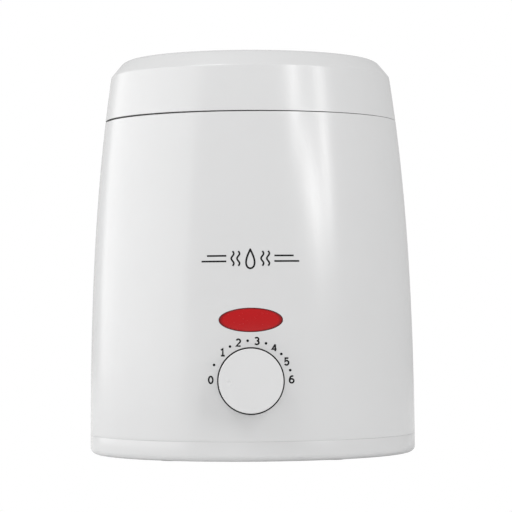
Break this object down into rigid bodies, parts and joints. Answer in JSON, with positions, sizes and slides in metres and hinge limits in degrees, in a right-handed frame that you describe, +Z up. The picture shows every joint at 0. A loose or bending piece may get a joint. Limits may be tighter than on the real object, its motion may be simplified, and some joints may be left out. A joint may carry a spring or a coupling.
{
  "type": "wax warmer pot",
  "caption": "Round electric wax warmer with a tapered plastic casing, dial knob, oval pilot lamp, lift-out aluminium pot and tall lid.",
  "frame": {"origin": "on the plane the feet stand on, at the centre of the plan of the whole object, knob and inlet included", "axes": "+Z up along the pot's axis, -Y towards the control knob, +X to the right as seen from the front"},
  "size_m": [0.1498, 0.16, 0.182],
  "materials": {
    "housing_white": "fine spark-eroded moulded ABS, semi-gloss",
    "knob_white": "smooth moulded ABS, semi-gloss",
    "lens_red": "translucent polished acrylic",
    "rubber_grey": "matte",
    "aluminium": "spun, satin",
    "steel": "zinc plated",
    "silicone_red": "matte",
    "insulation_felt": "needled fibre mat",
    "phenolic_dark": "moulded phenolic, matte",
    "brass": "turned",
    "copper": "drawn copper tube",
    "nylon": "natural nylon",
    "neon_glass": "clear glass",
    "inlet_black": "moulded, fine texture",
    "wire_brown": "extruded insulation",
    "wire_blue": "extruded insulation"
  },
  "bodies": {
    "housing": {"body_shell": "housing_white", "base_cover": "housing_white", "rubber_foot_front_right": "rubber_grey", "rubber_foot_rear_right": "rubber_grey", "rubber_foot_rear_left": "rubber_grey", "rubber_foot_front_left": "rubber_grey", "base_screw_1": "steel", "base_screw_2": "steel", "base_screw_3": "steel", "base_screw_4": "steel", "heating_chamber": "aluminium", "chamber_gasket": "silicone_red", "heater_band": "silicone_red", "heater_clamp": "steel", "clamp_screw": "steel", "clamp_nut": "steel", "insulation_sleeve": "insulation_felt", "support_strap": "steel", "support_nut": "steel", "strap_screw_left": "steel", "strap_screw_right": "steel", "thermal_fuse": "steel", "fuse_clip": "steel", "fuse_screw": "steel", "thermostat_body": "phenolic_dark", "thermostat_nut": "brass", "thermostat_tab_left": "brass", "thermostat_tab_pilot": "brass", "thermostat_tab_right": "brass", "thermostat_bulb": "copper", "thermostat_capillary": "copper", "lamp_lens": "lens_red", "lamp_holder": "nylon", "neon_lamp": "neon_glass", "lamp_resistor": "phenolic_dark", "mains_inlet": "inlet_black", "inlet_pin_left": "brass", "inlet_pin_right": "brass", "inlet_screw_left": "steel", "inlet_screw_right": "steel", "terminal_block": "nylon", "block_screw": "steel", "inlet_live_wire": "wire_brown", "inlet_neutral_wire": "wire_blue", "fuse_supply_wire": "wire_brown", "thermostat_supply_wire": "wire_brown", "heater_live_wire": "wire_brown", "heater_neutral_wire": "wire_blue", "lamp_live_wire": "wire_brown", "lamp_neutral_wire": "wire_blue"},
    "control_knob": {"knob": "knob_white", "thermostat_shaft": "brass"},
    "pot": {"wax_pot": "aluminium", "pot_lug_left": "aluminium", "pot_lug_right": "aluminium", "lug_rivet_left_front": "steel", "lug_rivet_left_rear": "steel", "lug_rivet_right_front": "steel", "lug_rivet_right_rear": "steel"},
    "cover": {"lid": "housing_white"}
  },
  "joints": [
    {"name": "knob_turn", "type": "hinge", "parent": "housing", "child": "control_knob", "pos_m": [0, -0.08, 0.0366], "axis": [0, 1, 0], "range_deg": [0, 176]},
    {"name": "pot_lift", "type": "slide", "parent": "housing", "child": "pot", "axis": [0, 0, 1], "range_m": [0, 0.11]},
    {"name": "lid_lift", "type": "slide", "parent": "pot", "child": "cover", "axis": [0, 0, 1], "range_m": [0, 0.12]}
  ]
}
